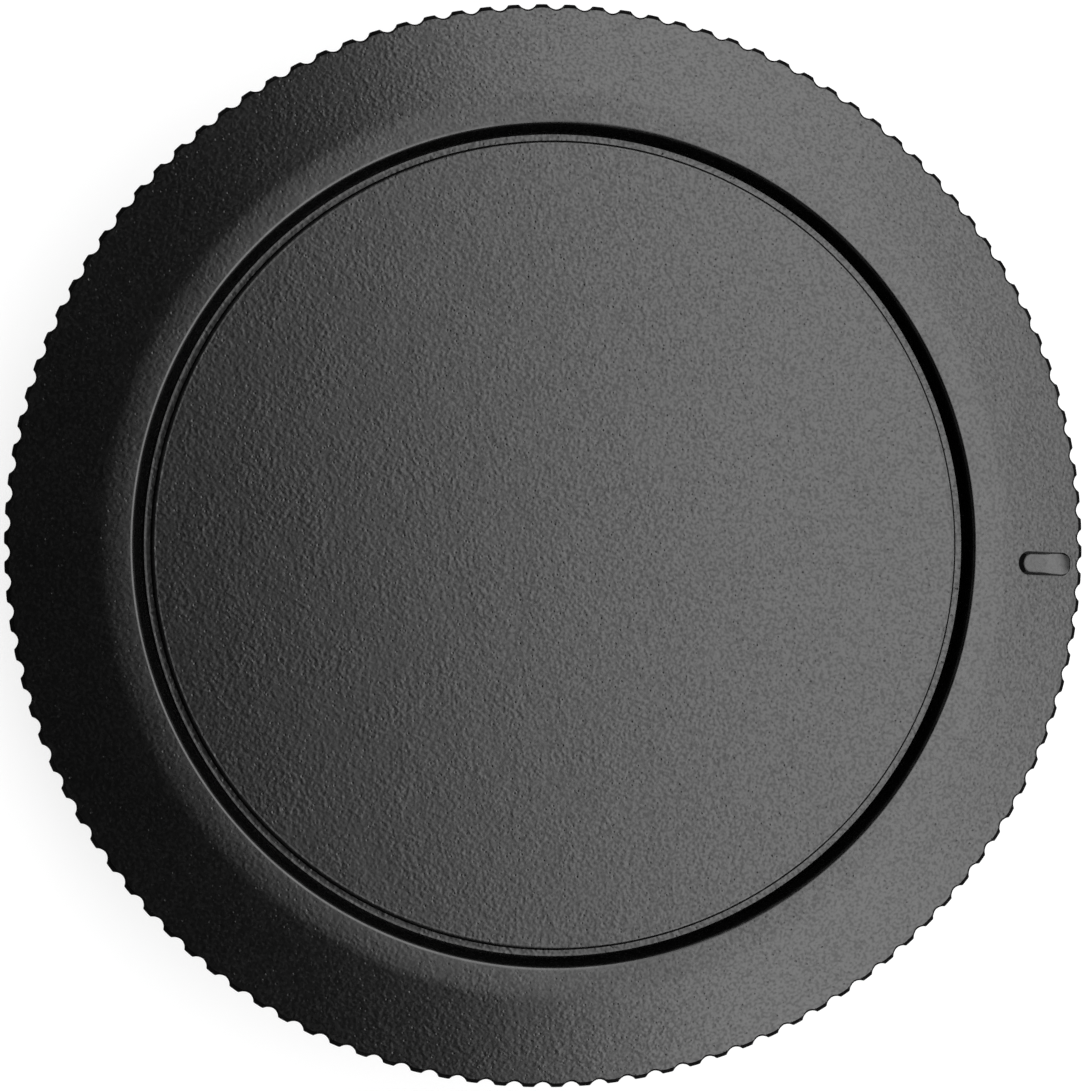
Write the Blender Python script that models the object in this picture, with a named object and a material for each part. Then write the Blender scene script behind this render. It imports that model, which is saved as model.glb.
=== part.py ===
"""Camera body cap: a round moulded cover that turns into a camera's lens mount.

The cap is one moulding. Its front has a flat round panel, a narrow deep groove
round it and a raised ring that falls away to a grip rim with fine flutes. Its
rear has a seat that meets the camera's mount, a collar with three bayonet lugs
that goes into the throat, and cored-out spaces that keep the walls even.

Metres, +Z out of the front face, origin in the middle of the collar's end.
The index mark points along +X.
"""

import math

import bmesh
import bpy
from mathutils import Matrix, Vector

# Bayonet collar, sized for the camera's throat and the claws that stand in from it
THROAT_DIAMETER = 0.0461
CLAW_REACH = 0.00115
COLLAR_HEIGHT = 0.0042
COLLAR_CLEARANCE = 0.0001
COLLAR_WALL = 0.0014
COLLAR_LEAD = 0.0003
LUG_CLEARANCE = 0.0001
LUG_THICKNESS = 0.0014
CLAW_THICKNESS = 0.0018
CLAW_CLEARANCE = 0.0001
LUG_COUNT = 3
LUG_FIRST_DEG = 60.0
LUG_ARC_DEG = 45.0
LUG_RAMP_DEG = 9.0
LUG_RAMP_DROP = 0.0005
LUG_CORNER_DEG = 1.5
STOP_ARC_DEG = 5.0
STOP_REACH = 0.0008

# Raised ring and grip rim
RIM_HEIGHT = 0.0038
RIM_EDGE_RADIUS = 0.0003
RING_RISE = 0.0012
CROWN_WIDTH = 0.00165
CROWN_BLEND = 0.0003
SLOPE_WIDTH = 0.0054
FLUTE_COUNT = 120
FLUTE_DEPTH = 0.00036
FLUTE_FLOOR_WIDTH = 0.0004
FLUTE_MOUTH_WIDTH = 0.00108
RIDGE_CORNER = 0.0001

# Front panel, the low band that frames it and the groove round them
PANEL_RISE = 0.0004
PANEL_EDGE = 0.00015
PANEL_THICKNESS = 0.0015
BAND_WIDTH = 0.00049
BAND_RISE = 0.00035
DISC_EDGE = 0.00008
GROOVE_WIDTH = 0.00037
GROOVE_DEPTH = 0.0018
GROOVE_LIP = 0.0002

# Cored rear
SEAT_WIDTH = 0.0028
RING_WALL = 0.0015
SKIRT_WALL = 0.0014
SKIRT_LIFT = 0.0002
CORE_FILLET = 0.0004
HOLLOW_FILLET = 0.0006
DRAFT_DEG = 1.0

# Index mark
MARK_LENGTH = 0.0032
MARK_WIDTH = 0.0013
MARK_DEPTH = 0.00035
MARK_RIM_GAP = 0.00084
MARK_RAMP = 0.0007
MARK_FLOOR_FILLET = 0.00012
MARK_END_CORNER = 0.0003
MARK_ROUND_STEPS = 7

# Surface and mesh fineness
PLASTIC_COLOUR = (0.018, 0.018, 0.019, 1.0)
PLASTIC_ROUGHNESS = 0.5
FRONT_SEGMENTS = 120
REAR_SEGMENTS = 60
LUG_SEGMENT_DEG = 3.0
EDGE_STEPS = 3
CORE_STEPS = 1
CUTTER_OVERSHOOT = 0.0003
JOIN_DEPTH = 0.0005
MERGE_DISTANCE = 0.000001

# Sizes that follow from the ones above; the groove's outer wall lines up with the throat
THROAT_RADIUS = THROAT_DIAMETER / 2
COLLAR_RADIUS = THROAT_RADIUS - CLAW_REACH - COLLAR_CLEARANCE
HOLLOW_RADIUS = COLLAR_RADIUS - COLLAR_WALL
LUG_RADIUS = THROAT_RADIUS - LUG_CLEARANCE
GROOVE_OUTER_RADIUS = THROAT_RADIUS
DISC_RADIUS = GROOVE_OUTER_RADIUS - GROOVE_WIDTH
PANEL_RADIUS = DISC_RADIUS - BAND_WIDTH
CROWN_RADIUS = GROOVE_OUTER_RADIUS + CROWN_WIDTH
OUTER_RADIUS = CROWN_RADIUS + SLOPE_WIDTH
SEAT_Z = COLLAR_HEIGHT
RIM_Z = SEAT_Z + RIM_HEIGHT
CROWN_Z = RIM_Z + RING_RISE
BAND_Z = RIM_Z + BAND_RISE
PANEL_Z = BAND_Z + PANEL_RISE
PANEL_UNDERSIDE_Z = PANEL_Z - PANEL_THICKNESS
GROOVE_FLOOR_Z = BAND_Z - GROOVE_DEPTH
SKIRT_Z = SEAT_Z + SKIRT_LIFT
LUG_TOP_Z = SEAT_Z - CLAW_THICKNESS - CLAW_CLEARANCE
LUG_BOTTOM_Z = LUG_TOP_Z - LUG_THICKNESS
SLOPE = math.atan2(CROWN_Z - RIM_Z, OUTER_RADIUS - CROWN_RADIUS)
FLUTE_FLOOR_RADIUS = OUTER_RADIUS - FLUTE_DEPTH
CHANNEL_INNER_RADIUS = COLLAR_RADIUS + SEAT_WIDTH
CHANNEL_OUTER_RADIUS = FLUTE_FLOOR_RADIUS - SKIRT_WALL


def lean(height):
    """Sideways lean of a drafted wall over the given height."""
    return abs(height) * math.tan(math.radians(DRAFT_DEG))


def slope_z(radius):
    """Height of the ring's sloping face at a radius."""
    return RIM_Z + (OUTER_RADIUS - radius) * math.tan(SLOPE)


def rim_top_z(radius):
    """Height of the rim's upper side: the slope, then the round edge of the grip."""
    setback = RIM_EDGE_RADIUS * math.tan((math.pi / 2 - SLOPE) / 2)
    centre_radius = OUTER_RADIUS - RIM_EDGE_RADIUS
    if radius <= centre_radius + RIM_EDGE_RADIUS * math.sin(SLOPE):
        return slope_z(radius)
    out = min(radius - centre_radius, RIM_EDGE_RADIUS)
    return RIM_Z - setback + math.sqrt(RIM_EDGE_RADIUS ** 2 - out ** 2)


def arc(centre, radius, start_deg, end_deg, steps):
    """Points of a circular arc in the (radius, height) plane, both ends included."""
    points = []
    for step in range(steps + 1):
        angle = math.radians(start_deg + (end_deg - start_deg) * step / steps)
        points.append((centre[0] + radius * math.cos(angle), centre[1] + radius * math.sin(angle)))
    return points


def fillet(before, corner, after, radius, steps):
    """Round the corner between two straight runs of a profile with a tangent arc."""
    corner = Vector(corner)
    towards_before = (Vector(before) - corner).normalized()
    towards_after = (Vector(after) - corner).normalized()
    half_angle = towards_before.angle(towards_after) / 2
    middle = corner + (towards_before + towards_after).normalized() * radius / math.sin(half_angle)
    first = corner + towards_before * radius / math.tan(half_angle) - middle
    last = corner + towards_after * radius / math.tan(half_angle) - middle
    points = []
    for step in range(steps + 1):
        spoke = first.lerp(last, step / steps).normalized() * radius
        points.append(tuple(middle + spoke))
    return points


def front_profile():
    """Section of the front, from the panel's edge out to the ring's slope."""
    panel_edge_centre = (PANEL_RADIUS - PANEL_EDGE, PANEL_Z - PANEL_EDGE)
    groove_lip_centre = (GROOVE_OUTER_RADIUS + GROOVE_LIP, CROWN_Z - GROOVE_LIP)
    blend_drop = CROWN_BLEND * math.tan(SLOPE)

    points = arc(panel_edge_centre, PANEL_EDGE, 90, 0, EDGE_STEPS)
    points.append((PANEL_RADIUS, BAND_Z))
    points.append((DISC_RADIUS - DISC_EDGE, BAND_Z))
    points.append((DISC_RADIUS, BAND_Z - DISC_EDGE))
    points.append((DISC_RADIUS + lean(GROOVE_DEPTH), GROOVE_FLOOR_Z))
    points.append((GROOVE_OUTER_RADIUS - lean(GROOVE_DEPTH), GROOVE_FLOOR_Z))
    points += arc(groove_lip_centre, GROOVE_LIP, 180, 90, EDGE_STEPS)
    points.append((CROWN_RADIUS - CROWN_BLEND, CROWN_Z))
    points.append((CROWN_RADIUS, CROWN_Z - blend_drop / 4))
    points.append((CROWN_RADIUS + CROWN_BLEND, CROWN_Z - blend_drop))
    return points


def rear_profile():
    """Section of the rear, from the skirt's foot in to the middle of the hollow."""
    roof_drop = RING_WALL / math.cos(SLOPE)
    roof_outer_z = slope_z(CHANNEL_OUTER_RADIUS) - roof_drop
    roof_inner_z = slope_z(CHANNEL_INNER_RADIUS) - roof_drop
    skirt_foot = (CHANNEL_OUTER_RADIUS, SKIRT_Z)
    seat_edge = (CHANNEL_INNER_RADIUS, SEAT_Z)
    roof_outer = (CHANNEL_OUTER_RADIUS - lean(roof_outer_z - SKIRT_Z), roof_outer_z)
    roof_inner = (CHANNEL_INNER_RADIUS + lean(roof_inner_z - SEAT_Z), roof_inner_z)
    hollow_mouth = (HOLLOW_RADIUS, 0.0)
    hollow_corner = (HOLLOW_RADIUS - lean(PANEL_UNDERSIDE_Z), PANEL_UNDERSIDE_Z)
    hollow_middle = (0.0, PANEL_UNDERSIDE_Z)

    points = [skirt_foot]
    points += fillet(skirt_foot, roof_outer, roof_inner, CORE_FILLET, CORE_STEPS)
    points += fillet(roof_outer, roof_inner, seat_edge, CORE_FILLET, CORE_STEPS)
    points.append(seat_edge)
    points.append((COLLAR_RADIUS, SEAT_Z))
    points.append((COLLAR_RADIUS, COLLAR_LEAD))
    points.append((COLLAR_RADIUS - COLLAR_LEAD, 0.0))
    points.append(hollow_mouth)
    points += fillet(hollow_mouth, hollow_corner, hollow_middle, HOLLOW_FILLET, CORE_STEPS)
    return points


def mesh_object(name, bm):
    """Turn a bmesh into an object with its faces pointing out."""
    bmesh.ops.recalc_face_normals(bm, faces=bm.faces)
    mesh = bpy.data.meshes.new(name)
    bm.to_mesh(mesh)
    bm.free()
    obj = bpy.data.objects.new(name, mesh)
    bpy.context.scene.collection.objects.link(obj)
    return obj


def plastic():
    """Black moulded plastic with a fine matt grain."""
    material = bpy.data.materials.new("black_moulded_plastic")
    material.use_nodes = True
    shader = material.node_tree.nodes["Principled BSDF"]
    shader.inputs["Base Color"].default_value = PLASTIC_COLOUR
    shader.inputs["Roughness"].default_value = PLASTIC_ROUGHNESS
    shader.inputs["Metallic"].default_value = 0.0
    return material


def turned_ring(bm, radius, z, segments):
    """One plain ring of vertices, as (angle, vertex) pairs."""
    ring = []
    for index in range(segments):
        angle = math.tau * index / segments
        place = (radius * math.cos(angle), radius * math.sin(angle), z)
        ring.append((angle, bm.verts.new(place)))
    return ring


def flute_section():
    """One flute of the grip from side to side, as (across, radius) points."""
    half_mouth = FLUTE_MOUTH_WIDTH / 2
    side = [
        (FLUTE_FLOOR_WIDTH / 2, FLUTE_FLOOR_RADIUS),
        (half_mouth - RIDGE_CORNER, OUTER_RADIUS - RIDGE_CORNER),
        (half_mouth, OUTER_RADIUS),
    ]
    return [(-across, radius) for across, radius in reversed(side)] + side


def fluted_ring(bm, limit_radius, z=None):
    """One ring round the fluted rim, kept inside a radius, as (angle, vertex) pairs.

    Without a height of its own it lies on the rim's upper side, so rings with
    growing limits meet along the upper edges of the flutes.
    """
    ring = []
    for index in range(FLUTE_COUNT):
        for across, section_radius in flute_section():
            angle = math.tau * index / FLUTE_COUNT + across / OUTER_RADIUS
            radius = min(section_radius, limit_radius)
            height = rim_top_z(radius) if z is None else z
            place = (radius * math.cos(angle), radius * math.sin(angle), height)
            ring.append((angle, bm.verts.new(place)))
    return ring


def join_rings(bm, first, second):
    """Skin two rings: quads where they match, else triangles in order of angle."""
    if len(first) == len(second):
        for index in range(len(first)):
            after = (index + 1) % len(first)
            corners = (first[index], first[after], second[after], second[index])
            bm.faces.new([vert for angle, vert in corners])
        return
    first_closed = first + [(first[0][0] + math.tau, first[0][1])]
    second_closed = second + [(second[0][0] + math.tau, second[0][1])]
    i = 0
    j = 0
    while i < len(first) or j < len(second):
        first_next = first_closed[i + 1][0] if i < len(first) else math.inf
        second_next = second_closed[j + 1][0] if j < len(second) else math.inf
        here = [first_closed[i][1], second_closed[j][1]]
        if first_next < second_next:
            i += 1
            bm.faces.new(here + [first_closed[i][1]])
        else:
            j += 1
            bm.faces.new(here + [second_closed[j][1]])


def moulded_body():
    """The cap as one skin of rings, with its fluted rim, before mark and lugs."""
    bm = bmesh.new()
    rings = [turned_ring(bm, radius, z, FRONT_SEGMENTS) for radius, z in front_profile()]
    for limit_radius in (FLUTE_FLOOR_RADIUS, OUTER_RADIUS - RIDGE_CORNER, OUTER_RADIUS):
        rings.append(fluted_ring(bm, limit_radius))
    rings.append(fluted_ring(bm, OUTER_RADIUS, SKIRT_Z))
    rings += [turned_ring(bm, radius, z, REAR_SEGMENTS) for radius, z in rear_profile()]
    for first, second in zip(rings, rings[1:]):
        join_rings(bm, first, second)
    for end in (rings[0], rings[-1]):
        bm.faces.new([vert for angle, vert in end])
    bmesh.ops.remove_doubles(bm, verts=bm.verts, dist=MERGE_DISTANCE)
    return mesh_object("body_cap", bm)


def mark_outline(inset, end_inset, above_slope):
    """Outline of the index mark at one level: round inner end, squarer outer end."""
    outer_end = OUTER_RADIUS - MARK_RIM_GAP - end_inset
    inner_end = OUTER_RADIUS - MARK_RIM_GAP - MARK_LENGTH + inset
    half_width = MARK_WIDTH / 2 - inset
    corner = MARK_END_CORNER
    points = arc((inner_end + half_width, 0.0), half_width, 90, 270, MARK_ROUND_STEPS)
    points += arc((outer_end - corner, corner - half_width), corner, -90, 0, EDGE_STEPS)
    points += arc((outer_end - corner, half_width - corner), corner, 0, 90, EDGE_STEPS)
    return [Vector((x, y, slope_z(x) + above_slope)) for x, y in points]


def index_pocket():
    """Cutter for the index mark: a shallow pocket whose outer end ramps up."""
    knee = MARK_RAMP / 3
    ramp_per_height = knee / (MARK_DEPTH - MARK_FLOOR_FILLET)
    levels = [
        mark_outline(MARK_FLOOR_FILLET, MARK_RAMP, -MARK_DEPTH),
        mark_outline(0.0, knee, MARK_FLOOR_FILLET - MARK_DEPTH),
        mark_outline(0.0, -CUTTER_OVERSHOOT * ramp_per_height, CUTTER_OVERSHOOT),
    ]
    bm = bmesh.new()
    rings = [[bm.verts.new(point) for point in level] for level in levels]
    for lower, upper in zip(rings, rings[1:]):
        for index in range(len(lower)):
            after = (index + 1) % len(lower)
            bm.faces.new((lower[index], lower[after], upper[after], upper[index]))
    bm.faces.new(rings[0])
    bm.faces.new(rings[-1])
    return mesh_object("index_pocket", bm)


def swept_block(bm, stations):
    """Loft a block round the axis through (angle, outer radius, low, high) stations."""
    inner = COLLAR_RADIUS - JOIN_DEPTH
    rings = []
    for angle_deg, outer, low, high in stations:
        turn = Matrix.Rotation(math.radians(angle_deg), 4, "Z")
        corners = ((inner, low), (outer, low), (outer, high), (inner, high))
        rings.append([bm.verts.new(turn @ Vector((radius, 0.0, z))) for radius, z in corners])
    for first, second in zip(rings, rings[1:]):
        for index in range(4):
            after = (index + 1) % 4
            bm.faces.new((first[index], first[after], second[after], second[index]))
    bm.faces.new(rings[0])
    bm.faces.new(rings[-1])


def lug_stations(middle_deg):
    """Stations of one lug, from its leading end, whose top ramps down, to its tail."""
    start = middle_deg - LUG_ARC_DEG / 2
    end = middle_deg + LUG_ARC_DEG / 2
    corner_radius = LUG_RADIUS - (LUG_RADIUS - COLLAR_RADIUS) / 3
    ramp_top = LUG_TOP_Z - LUG_RAMP_DROP
    stations = [
        (start, corner_radius, LUG_BOTTOM_Z, ramp_top),
        (start + LUG_CORNER_DEG, LUG_RADIUS, LUG_BOTTOM_Z, ramp_top),
        (start + LUG_RAMP_DEG, LUG_RADIUS, LUG_BOTTOM_Z, LUG_TOP_Z),
    ]
    plain_start = start + LUG_RAMP_DEG
    plain_end = end - LUG_CORNER_DEG
    plain_steps = max(1, round((plain_end - plain_start) / LUG_SEGMENT_DEG))
    for step in range(1, plain_steps + 1):
        angle = plain_start + (plain_end - plain_start) * step / plain_steps
        stations.append((angle, LUG_RADIUS, LUG_BOTTOM_Z, LUG_TOP_Z))
    stations.append((end, corner_radius, LUG_BOTTOM_Z, LUG_TOP_Z))
    return stations


def bayonet_lugs():
    """The lugs that catch behind the camera's claws, spaced evenly round the collar."""
    bm = bmesh.new()
    for index in range(LUG_COUNT):
        swept_block(bm, lug_stations(LUG_FIRST_DEG + 360 / LUG_COUNT * index))
    return mesh_object("bayonet_lugs", bm)


def turn_stop():
    """Block between the first lug's tail and the seat that ends the cap's turn."""
    tail = LUG_FIRST_DEG + LUG_ARC_DEG / 2 - LUG_CORNER_DEG
    outer = COLLAR_RADIUS + STOP_REACH
    low = LUG_TOP_Z - LUG_THICKNESS / 2
    high = SEAT_Z + JOIN_DEPTH
    bm = bmesh.new()
    swept_block(bm, [(tail - STOP_ARC_DEG, outer, low, high), (tail, outer, low, high)])
    return mesh_object("turn_stop", bm)


def combine(body, tool, operation):
    """Cut a tool from the body, or join it, and leave the tool as a wire guide."""
    modifier = body.modifiers.new(tool.name, "BOOLEAN")
    modifier.operation = operation
    modifier.solver = "EXACT"
    modifier.object = tool
    tool.display_type = "WIRE"
    tool.hide_render = True
    tool.parent = body


def main():
    for obj in list(bpy.data.objects):
        bpy.data.objects.remove(obj, do_unlink=True)
    cap = moulded_body()
    cap.data.materials.append(plastic())
    cap.data.shade_smooth()
    cap.data.set_sharp_from_angle(angle=math.radians(30))
    combine(cap, index_pocket(), "DIFFERENCE")
    combine(cap, bayonet_lugs(), "UNION")
    combine(cap, turn_stop(), "UNION")


main()
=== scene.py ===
"""Camera body cap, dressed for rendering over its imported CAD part.

The cap is one black moulding. Everything is in metres, in the part's own frame:
+Z out of the front face, the index mark towards +X, the collar's end at z = 0.
"""

import math

import bmesh
import bpy
from bpy.props import FloatProperty, FloatVectorProperty, IntProperty, PointerProperty
from bpy.types import Operator, Panel, PropertyGroup
from mathutils import Matrix, Vector


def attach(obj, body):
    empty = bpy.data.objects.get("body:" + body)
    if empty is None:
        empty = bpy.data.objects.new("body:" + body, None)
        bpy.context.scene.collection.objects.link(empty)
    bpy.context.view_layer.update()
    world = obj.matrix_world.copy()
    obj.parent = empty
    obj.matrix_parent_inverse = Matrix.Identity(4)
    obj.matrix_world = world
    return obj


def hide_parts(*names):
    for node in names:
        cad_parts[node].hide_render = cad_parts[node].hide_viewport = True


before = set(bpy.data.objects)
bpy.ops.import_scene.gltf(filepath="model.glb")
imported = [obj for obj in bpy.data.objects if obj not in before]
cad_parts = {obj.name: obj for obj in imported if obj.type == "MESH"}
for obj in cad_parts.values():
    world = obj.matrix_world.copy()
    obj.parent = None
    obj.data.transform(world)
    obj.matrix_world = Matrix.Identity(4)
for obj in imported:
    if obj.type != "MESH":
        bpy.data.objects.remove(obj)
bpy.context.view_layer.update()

bl_info = {
    "name": "Camera body cap",
    "version": (1, 0, 0),
    "blender": (4, 5, 0),
    "location": "View3D > Sidebar > Body Cap",
    "description": "Builds a bayonet body cap for a camera, with its finish and a plain studio",
    "category": "Object",
}

CAP = "body_cap_moulding"
TURNED_STATIONS = 480
MARK_STEPS = 7
# Radii of the rings on the panel's face, and how far the rim's rings lie inside its wall.
PANEL_RINGS = (0.002, 0.012, 0.020)
RIM_RINGS = (0.00033, 0.000312, 0.00029, 0.0002, 0.000145, 0.000132, 0.00009, 0.00005,
             0.00003, 0.000013, 0.000003, 0.0)
# Stations from the middle of a flute to the middle of a ridge.
FLUTE_STEPS = (0.0, 0.00014, 0.00025, 0.00033, 0.00039, 0.00044, 0.00049, 0.00054, 0.0006,
               0.00068)
# A face that leans outwards by more than this, in degrees, takes the dull or the grip's finish.
MARK_WALL_LEAN = 32
RIM_WALL_LEAN = 18
CAP_FACE = (0, 0, 0.008)
FLOOR_RADIUS = 4.0
FLOOR_GAP = 0.00002
LAYER_GAP = 0.001
# The pale band over the floor, in degrees of height.
HORIZON_BAND = (1, 9)
# The camera as measured from the photograph, and its turn, in degrees, into the part's frame.
CAMERA_PLACE = (-0.00808, -0.00041, 0.0816)
CAMERA_BACK = (-0.0935, -0.00486, 0.996)
CAMERA_UP = (-0.0126, 1.0, 0.0034)
CAMERA_TURN = 1.5
# Material slots of the cap's finishes, in the order in which its operator adds them.
GRAINED = 0
SMOOTH = 1
GRIP = 2
EDGE = 3


def length_prop(name, description, default, precision=5):
    """A size in metres."""
    return FloatProperty(name=name, description=description, default=default,
                         unit="LENGTH", precision=precision)


def angle_prop(name, description, degrees):
    """An angle, given in degrees."""
    return FloatProperty(name=name, description=description, default=math.radians(degrees),
                         subtype="ANGLE")


def factor_prop(name, description, default):
    """A share from 0 to 1."""
    return FloatProperty(name=name, description=description, default=default,
                         subtype="FACTOR", min=0, max=1)


def number_prop(name, description, default, lowest=0):
    """A plain number."""
    return FloatProperty(name=name, description=description, default=default, min=lowest)


def grey_prop(name, description, grey):
    """A colour that starts out as a grey."""
    return FloatVectorProperty(name=name, description=description, subtype="COLOR",
                               size=4, min=0, max=1, default=(grey, grey, grey, 1))


class CapFrontSizes(PropertyGroup):
    """Sizes of the cap's front: panel, band, groove, raised ring and index mark."""

    panel_rise: length_prop("Panel rise", "Height of the panel above the band", 0.0004)
    panel_edge: length_prop("Panel edge", "Radius of the panel's rounded edge", 0.00015)
    panel_lip: length_prop("Panel lip", "How far the panel's edge turns up", 0.000011, 6)
    foot_width: length_prop(
        "Foot groove width", "Width of the fine groove at the panel's foot", 0.00015)
    foot_depth: length_prop(
        "Foot groove depth", "Depth of the fine groove at the panel's foot", 0.00012)
    band_width: length_prop("Band width", "Width of the low band round the panel", 0.00049)
    band_rise: length_prop("Band rise", "Height of the band above the rim", 0.00035)
    band_fall: length_prop("Band fall", "How far the band drops outwards", 0.000014, 6)
    band_lip: length_prop("Band lip", "How far the band's outer edge turns up", 0.000023, 6)
    groove_width: length_prop("Groove width", "Width of the groove between band and ring", 0.00037)
    groove_depth: length_prop("Groove depth", "Depth of the groove below the band", 0.0018)
    groove_lip: length_prop("Groove lip", "Radius of the ring's edge over the groove", 0.00017)
    ring_rise: length_prop("Ring rise", "Height of the ring above the rim", 0.0012)
    crown_width: length_prop("Crown width", "Width of the ring's top", 0.00165)
    crown_fall: length_prop("Crown fall", "How far the ring's top drops outwards", 0.000045, 6)
    crown_blend: length_prop(
        "Crown blend", "Half the width of the soft turn into the slope", 0.0003)
    slope_width: length_prop("Slope width", "Width of the ring's slope down to the rim", 0.0054)
    mark_length: length_prop("Mark length", "Length of the index mark", 0.00337)
    mark_width: length_prop("Mark width", "Width of the index mark", 0.0013)
    mark_depth: length_prop("Mark depth", "Depth of the index mark", 0.00042)
    mark_rim_gap: length_prop("Mark to rim", "Distance from the mark to the rim's edge", 0.00088)
    mark_bevel: angle_prop("Mark bevel", "Slant of the mark's inner end below the slope", 37)
    mark_side_fillet: length_prop("Mark side fillet", "Fillet along the mark's sides", 0.0002)
    mark_climb: length_prop("Mark climb", "Radius of the curve up to the mark's outer end", 0.0026)


class CapRimSizes(PropertyGroup):
    """Sizes of the grip rim and its flutes."""

    rim_height: length_prop("Rim height", "Height of the rim above the seat", 0.0038)
    rim_edge: length_prop("Rim edge", "Width of the bevel on the rim's upper edge", 0.00031)
    rim_bevel: angle_prop("Rim bevel", "Slant of the bevel on the rim's upper edge", 35)
    rim_round: length_prop("Rim rounding", "Radius between the bevel and the rim's side", 0.00008)
    flute_count: IntProperty(
        name="Flutes", description="Number of flutes round the rim", default=120, min=12)
    flute_depth: length_prop("Flute depth", "Depth of a flute", 0.00036)
    flute_nose: length_prop("Flute radius", "Radius of a flute's round bottom", 0.00046)
    ridge_softness: length_prop(
        "Ridge softness", "How far the ridges' corners are rounded", 0.00035)
    flute_top: length_prop(
        "Flute top edge", "Width of the bevel where a flute meets the slope", 0.00014)
    foot_edge: length_prop("Foot edge", "Radius of the rim's lower edge", 0.00012)
    skirt_lift: length_prop("Skirt lift", "How far the rim's foot stays above the seat", 0.0002)


class CapRearSizes(PropertyGroup):
    """Sizes of the bayonet collar, its lugs and the cored rear."""

    throat_diameter: length_prop(
        "Throat diameter", "Bore of the camera's mount that the cap closes", 0.0461)
    claw_reach: length_prop(
        "Claw reach", "How far the camera's claws stand into the throat", 0.00115)
    clearance: length_prop("Clearance", "Gap between the cap and the camera's mount", 0.0001)
    collar_height: length_prop("Collar height", "Height of the collar below the seat", 0.0042)
    collar_wall: length_prop("Collar wall", "Thickness of the collar's wall", 0.0014)
    collar_lead: length_prop("Collar lead-in", "Size of the lead-in at the collar's end", 0.0003)
    lug_thickness: length_prop("Lug thickness", "Thickness of a lug", 0.0014)
    claw_thickness: length_prop("Claw thickness", "Thickness of the camera's claws", 0.0018)
    lug_count: IntProperty(
        name="Lugs", description="Number of lugs round the collar", default=3, min=1)
    lug_first: angle_prop("First lug", "Direction of the first lug's middle", 60)
    lug_arc: angle_prop("Lug arc", "Length of a lug round the collar", 45)
    lug_ramp: angle_prop("Lug ramp", "Length of a lug's leading ramp", 9)
    lug_ramp_drop: length_prop(
        "Ramp drop", "How far the ramp drops at the lug's leading end", 0.0005)
    stop_arc: angle_prop("Stop arc", "Length of the turn stop round the collar", 5)
    stop_reach: length_prop("Stop reach", "How far the turn stop stands off the collar", 0.0008)
    seat_width: length_prop("Seat width", "Width of the seat that meets the camera", 0.0028)
    ring_wall: length_prop("Ring wall", "Wall thickness under the ring's slope", 0.0015)
    skirt_wall: length_prop("Skirt wall", "Wall thickness behind the flutes", 0.0014)
    panel_wall: length_prop("Panel wall", "Wall thickness of the front panel", 0.0015)
    core_fillet: length_prop("Core fillet", "Radius in the corners of the cored channel", 0.0004)
    hollow_fillet: length_prop(
        "Hollow fillet", "Radius in the corner of the collar's hollow", 0.0006)
    draft: angle_prop("Draft", "Lean of the moulded walls", 1)
    broken_edge: length_prop("Broken edge", "Radius of small outer edges on the rear", 0.00012)
    gate_radius: length_prop("Gate mark", "Radius of the gate's mark inside the cap", 0.0007)
    ejector_radius: length_prop("Ejector mark", "Radius of the ejector pins' marks", 0.0015)
    ejector_circle: length_prop(
        "Ejector circle", "Radius of the circle the ejector marks stand on", 0.0135)


class CapFinish(PropertyGroup):
    """Colour and grain of the moulded plastic."""

    plastic_colour: grey_prop("Plastic colour", "Body colour of the black plastic", 0.0015)
    worn_colour: grey_prop("Worn colour", "Colour that rubbed edges turn towards", 0.012)
    grain_size: length_prop("Grain size", "Distance between the grain's pits", 0.00027)
    grain_depth: length_prop("Grain depth", "Depth of the spark-eroded grain", 0.0000255, 7)
    pit_depth: number_prop("Pit depth", "Depth of the scattered deeper pits, in grain depths", 0.9)
    # Painted shade in the pits: the share of their shine that is taken away.
    pit_shade: factor_prop("Pit shade", "Share of the shine that the pits' bottoms lose", 0.2)
    grained_roughness: factor_prop("Grained roughness", "Roughness of the grained faces", 0.285)
    smooth_roughness: factor_prop("Smooth roughness", "Roughness of the ungrained faces", 0.24)
    grip_roughness: factor_prop("Grip roughness", "Roughness of the fluted rim", 0.42)
    edge_roughness: factor_prop(
        "Edge roughness", "Roughness of the rim's bevel and of the mark's steep walls", 0.6)
    sheen: number_prop("Face index", "Refractive index that sets the faces' shine", 1.65, 1)
    grip_sheen: number_prop(
        "Grip index", "Refractive index that sets the fluted rim's shine", 1.45, 1)
    edge_sheen: number_prop(
        "Edge index", "Refractive index that sets the dull edge's shine", 1.07, 1)


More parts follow.
